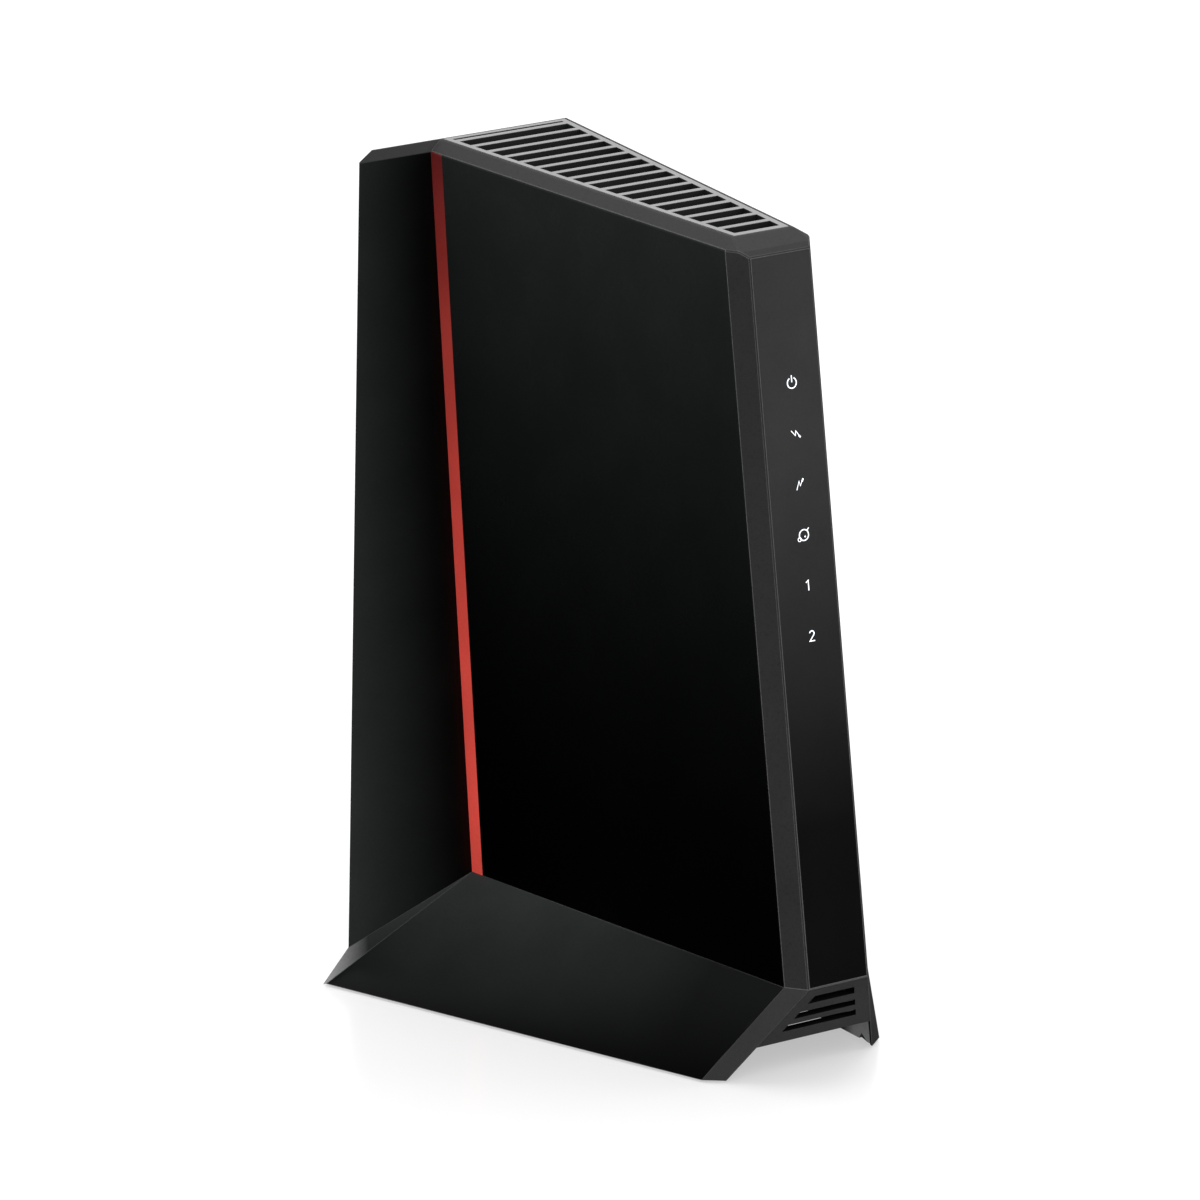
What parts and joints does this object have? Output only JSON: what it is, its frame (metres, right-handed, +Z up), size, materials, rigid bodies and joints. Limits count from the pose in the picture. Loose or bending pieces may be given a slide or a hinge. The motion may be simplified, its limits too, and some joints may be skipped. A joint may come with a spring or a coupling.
{
  "type": "cable gateway router",
  "caption": "Upright desktop cable gateway: leaning black wedge body, flared stand, rear plate with one side wing and sockets, slatted top grille, lit icon strip.",
  "frame": {"origin": "on the table surface, on the left-right middle plane, halfway between the nose of the front and the end of the coax socket", "axes": "+Z up; -Y is the way the light strip faces; +X is to the right of someone who looks at the front"},
  "size_m": [0.1566, 0.1836, 0.237],
  "materials": {
    "frame_textured": "fine spark-eroded texture, dark grey",
    "panel_black": "smooth satin black",
    "accent_red": "satin red",
    "fascia_black": "smooth smoked black",
    "grille_silver": "light grey satin paint",
    "rear_black": "smooth satin black",
    "stand_black": "smooth satin black",
    "sole_black": "fine texture, black",
    "foot_rubber": "matt black rubber",
    "label_grey": "blank film label",
    "screw_steel": "black zinc",
    "port_plate": "fine texture, dark grey",
    "board_green": "solder mask",
    "carrier_grey": "moulded",
    "chip_black": "moulded package",
    "pad_grey": "soft silicone",
    "sink_aluminium": "extruded",
    "shield_tin": "tin plated sheet",
    "capacitor_sleeve": "shrink sleeve",
    "inductor_ferrite": "pressed powder",
    "led_chip": "clear resin",
    "guide_clear": "clear moulding",
    "coax_nickel": "nickel plated",
    "insulator_white": "natural resin",
    "contact_gold": "gold flash",
    "socket_black": "moulded",
    "button_grey": "moulded"
  },
  "bodies": {
    "housing": {"accent_strip_left": "accent_red", "accent_strip_right": "accent_red", "base_stand": "stand_black", "board_carrier": "carrier_grey", "board_screws": "screw_steel", "capacitors": "capacitor_sleeve", "case_screws": "screw_steel", "coax_connector": "coax_nickel", "coax_insulator": "insulator_white", "coax_nut": "coax_nickel", "dc_jack": "socket_black", "dc_pin": "contact_gold", "flash_chip": "chip_black", "front_fascia": "fascia_black", "front_vent_panel": "frame_textured", "heat_sink": "sink_aluminium", "indicator_leds": "led_chip", "inductors": "inductor_ferrite", "lan_1_contacts": "contact_gold", "lan_1_insert": "socket_black", "lan_1_lights": "guide_clear", "lan_1_shield": "shield_tin", "lan_2_contacts": "contact_gold", "lan_2_insert": "socket_black", "lan_2_lights": "guide_clear", "lan_2_shield": "shield_tin", "lan_transformer": "chip_black", "light_guide": "guide_clear", "main_board": "board_green", "main_frame": "frame_textured", "memory_chips": "chip_black", "modem_chip": "chip_black", "power_switch": "socket_black", "rating_label": "label_grey", "rear_panel": "port_plate", "rear_shell": "rear_black", "reset_switch": "socket_black", "rubber_feet": "foot_rubber", "side_panel_left": "panel_black", "side_panel_right": "panel_black", "sole_plate_left": "sole_black", "sole_plate_right": "sole_black", "switch_chip": "chip_black", "thermal_pad": "pad_grey", "top_grille": "grille_silver", "tuner_shield": "shield_tin"},
    "power_button": {"power_button": "button_grey"},
    "reset_button": {"reset_button": "button_grey"}
  },
  "joints": [
    {"name": "power_press", "type": "slide", "parent": "housing", "child": "power_button", "axis": [0, -1, 0], "range_m": [0, 0.002], "stiffness_N_per_m": 600},
    {"name": "reset_press", "type": "slide", "parent": "housing", "child": "reset_button", "axis": [0, -1, 0], "range_m": [0, 0.0005], "stiffness_N_per_m": 900}
  ]
}
